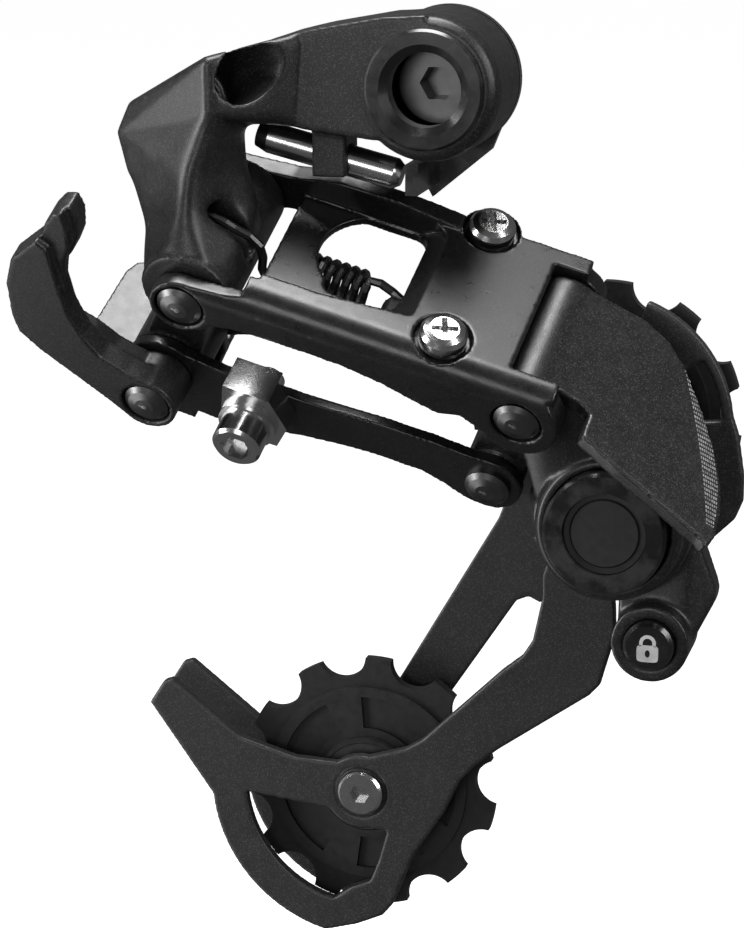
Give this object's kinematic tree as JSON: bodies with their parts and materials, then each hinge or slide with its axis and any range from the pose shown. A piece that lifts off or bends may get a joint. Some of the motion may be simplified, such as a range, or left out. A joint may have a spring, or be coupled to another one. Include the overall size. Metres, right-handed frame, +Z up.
{
  "type": "rear bicycle derailleur",
  "caption": "Rear bicycle derailleur: slanted parallelogram arm with cable anchor, clutch housing with lock button, and a sprung cage that carries toothed guide pulleys.",
  "frame": {"origin": "on the hanger bolt's axis, at the outer face of the frame's hanger", "axes": "+X forward on the bicycle, +Y inboard towards the wheel along the hanger bolt, +Z up"},
  "size_m": [0.1127, 0.0598, 0.1614],
  "materials": {
    "cast_black": "satin black paint on cast aluminium, finely speckled",
    "gloss_black": "smooth semi-gloss black",
    "plastic_black": "matte moulded plastic",
    "bright_steel": "bright plated steel",
    "dark_steel": "dark grey steel",
    "spring_steel": "oiled spring wire",
    "bronze": "sintered bearing bronze",
    "rubber_black": "matte rubber"
  },
  "bodies": {
    "hanger": {"hanger_bolt": "dark_steel", "b_limit_washer": "gloss_black"},
    "upper_knuckle": {"b_bushing": "bronze", "b_knuckle": "cast_black", "b_dust_ring": "gloss_black", "b_pin_bushings": "bronze"},
    "upper_screw": {"b_adjust_screw": "bright_steel"},
    "outer_arm": {"outer_link": "cast_black", "outer_link_pins": "dark_steel", "return_spring": "spring_steel"},
    "low_screw": {"low_limit_screw": "bright_steel"},
    "high_screw": {"high_limit_screw": "bright_steel"},
    "inner_arm": {"inner_link": "cast_black", "inner_link_pins": "dark_steel", "cable_fin": "cast_black", "cable_clamp_plate": "bright_steel", "cable_anchor_bolt": "bright_steel"},
    "lower_knuckle": {"p_knuckle": "cast_black", "p_pin_bushings": "bronze", "clutch_cap_ring": "gloss_black", "clutch_cap_disc": "plastic_black", "clutch_outer_race": "dark_steel", "clutch_friction_band": "bronze", "cage_pivot_bushing": "bronze", "cage_return_spring": "spring_steel", "lock_button_spring": "spring_steel"},
    "button": {"lock_button": "gloss_black"},
    "cage": {"clutch_rollers": "bright_steel", "clutch_drum": "dark_steel", "cage_axle": "dark_steel", "axle_retaining_ring": "bright_steel", "cage_seal": "rubber_black", "outer_cage_plate": "cast_black", "inner_cage_plate": "cast_black", "cage_stop_pin": "dark_steel", "upper_pulley_bushing": "dark_steel", "lower_pulley_bushing": "dark_steel", "upper_dust_covers": "dark_steel", "lower_dust_covers": "dark_steel", "upper_pulley_bolt": "bright_steel", "lower_pulley_bolt": "bright_steel"},
    "upper_wheel": {"upper_pulley": "plastic_black"},
    "lower_wheel": {"lower_pulley": "plastic_black"}
  },
  "joints": [
    {"name": "hanger_pivot", "type": "hinge", "parent": "hanger", "child": "upper_knuckle", "pos_m": [0, 0, 0], "axis": [0, 1, 0], "range_deg": [0, 60]},
    {"name": "upper_screw_turn", "type": "hinge", "parent": "upper_knuckle", "child": "upper_screw", "pos_m": [-0.0284, -0.012, -0.0086], "axis": [0.9715, 0, -0.2368], "range_deg": [-360, 360]},
    {"name": "outer_arm_pivot", "type": "hinge", "parent": "upper_knuckle", "child": "outer_arm", "pos_m": [-0.037, -0.028, -0.034], "axis": [0.124, 0.8295, 0.5446], "range_deg": [0, 46], "stiffness_Nm_per_rad": 0.5, "springref_deg": -45.84, "deforming": ["return_spring"]},
    {"name": "low_screw_turn", "type": "hinge", "parent": "outer_arm", "child": "low_screw", "pos_m": [0.00601, -0.00084, -0.02915], "axis": [0.2626, -0.5567, 0.7881], "range_deg": [-360, 360]},
    {"name": "high_screw_turn", "type": "hinge", "parent": "outer_arm", "child": "high_screw", "pos_m": [0.00298, -0.02116, -0.04249], "axis": [0.2626, -0.5567, 0.7881], "range_deg": [-360, 360]},
    {"name": "inner_arm_pivot", "type": "hinge", "parent": "upper_knuckle", "child": "inner_arm", "pos_m": [-0.04432, -0.01725, -0.04871], "axis": [0.124, 0.8295, 0.5446], "range_deg": [0, 46]},
    {"name": "lower_knuckle_pivot", "type": "hinge", "parent": "outer_arm", "child": "lower_knuckle", "pos_m": [0.01639, -0.02547, -0.05001], "axis": [0.124, 0.8295, 0.5446], "range_deg": [-46, 0]},
    {"name": "cage_pivot", "type": "hinge", "parent": "lower_knuckle", "child": "cage", "pos_m": [0.0298, 0, -0.0677], "axis": [0, -1, 0], "range_deg": [0, 90], "stiffness_Nm_per_rad": 0.2, "springref_deg": -85.94, "deforming": ["cage_return_spring"]},
    {"name": "lock_button_push", "type": "slide", "parent": "lower_knuckle", "child": "button", "axis": [0, 1, 0], "range_m": [0, 0.0035], "stiffness_N_per_m": 400, "springref_m": -0.002, "deforming": ["lock_button_spring"]},
    {"name": "upper_wheel_spin", "type": "hinge", "parent": "cage", "child": "upper_wheel", "pos_m": [0.0241, 0.011, -0.0562], "axis": [0, 1, 0], "continuous": true},
    {"name": "lower_wheel_spin", "type": "hinge", "parent": "cage", "child": "lower_wheel", "pos_m": [-0.0162, 0.011, -0.1239], "axis": [0, 1, 0], "continuous": true}
  ],
  "couplings": [
    {"joint": "inner_arm_pivot", "follows": "outer_arm_pivot", "ratio": 1},
    {"joint": "lower_knuckle_pivot", "follows": "outer_arm_pivot", "ratio": -1}
  ]
}
